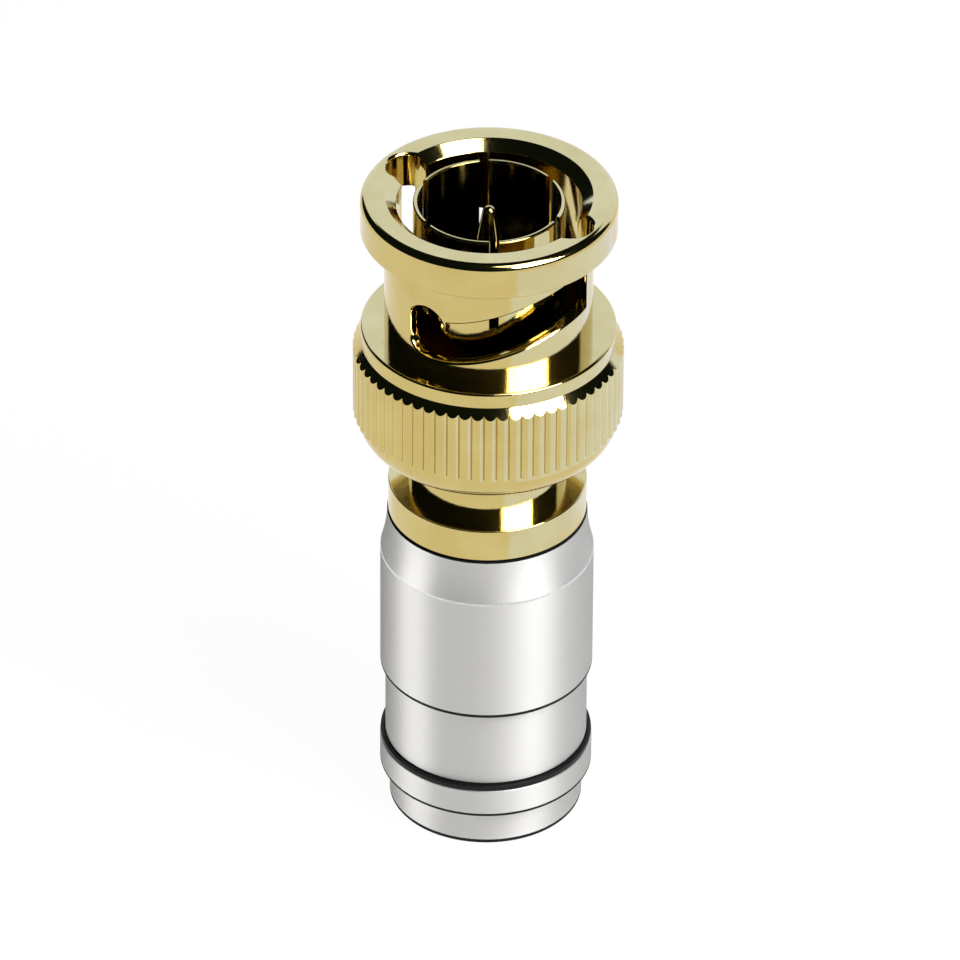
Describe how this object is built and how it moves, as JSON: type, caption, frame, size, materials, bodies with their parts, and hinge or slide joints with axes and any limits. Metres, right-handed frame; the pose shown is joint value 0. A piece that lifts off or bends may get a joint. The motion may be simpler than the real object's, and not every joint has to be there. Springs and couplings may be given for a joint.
{
  "type": "bnc connector",
  "caption": "Male bayonet coaxial plug for compression onto cable, with a knurled coupling nut, slotted contact, centre pin and sliding compression sleeve.",
  "frame": {"origin": "centre of the rear (cable) face, at the bottom of the part", "axes": "+Z along the plug's axis from the cable end to the mating face; X and Y across, with the coupling nut's first entry notch on +X and a contact slot 7 degrees from +X towards +Y"},
  "size_m": [0.0144, 0.0144, 0.0389],
  "materials": {
    "gold_plate": "polished gold plating on brass",
    "nickel_plate": "satin nickel plating",
    "spring_steel": "bright rolled spring steel",
    "insulator_plastic": "matte black acetal",
    "black_rubber": "matte black rubber",
    "black_ring": "semi-gloss black plastic",
    "silicone": "matte red silicone rubber"
  },
  "bodies": {
    "connector_body": {"main_body": "gold_plate", "shell": "nickel_plate", "body_oring": "black_rubber", "post": "nickel_plate", "pin_guide": "insulator_plastic", "rear_insulator": "insulator_plastic", "front_insulator": "insulator_plastic", "center_pin": "gold_plate", "outer_contact": "gold_plate", "front_gasket": "silicone", "wave_spring_front": "spring_steel", "wave_spring_rear": "spring_steel"},
    "nut_carrier": {"thrust_washer": "nickel_plate"},
    "coupling_nut": {"coupling_nut": "gold_plate", "snap_ring": "spring_steel"},
    "compression_sleeve": {"compression_sleeve": "nickel_plate", "indicator_ring": "black_ring", "grip_ferrule": "nickel_plate", "cable_seal": "black_rubber", "sleeve_oring": "black_rubber"}
  },
  "joints": [
    {"name": "nut_slide", "type": "slide", "parent": "connector_body", "child": "nut_carrier", "axis": [0, 0, 1], "range_m": [0, 0.00055], "stiffness_N_per_m": 4000, "springref_m": -0.001, "deforming": ["wave_spring_front", "wave_spring_rear"]},
    {"name": "nut_turn", "type": "hinge", "parent": "nut_carrier", "child": "coupling_nut", "pos_m": [0, 0, 0.0315], "axis": [0, 0, 1], "continuous": true},
    {"name": "sleeve_press", "type": "slide", "parent": "connector_body", "child": "compression_sleeve", "axis": [0, 0, 1], "range_m": [0, 0.0045]}
  ]
}
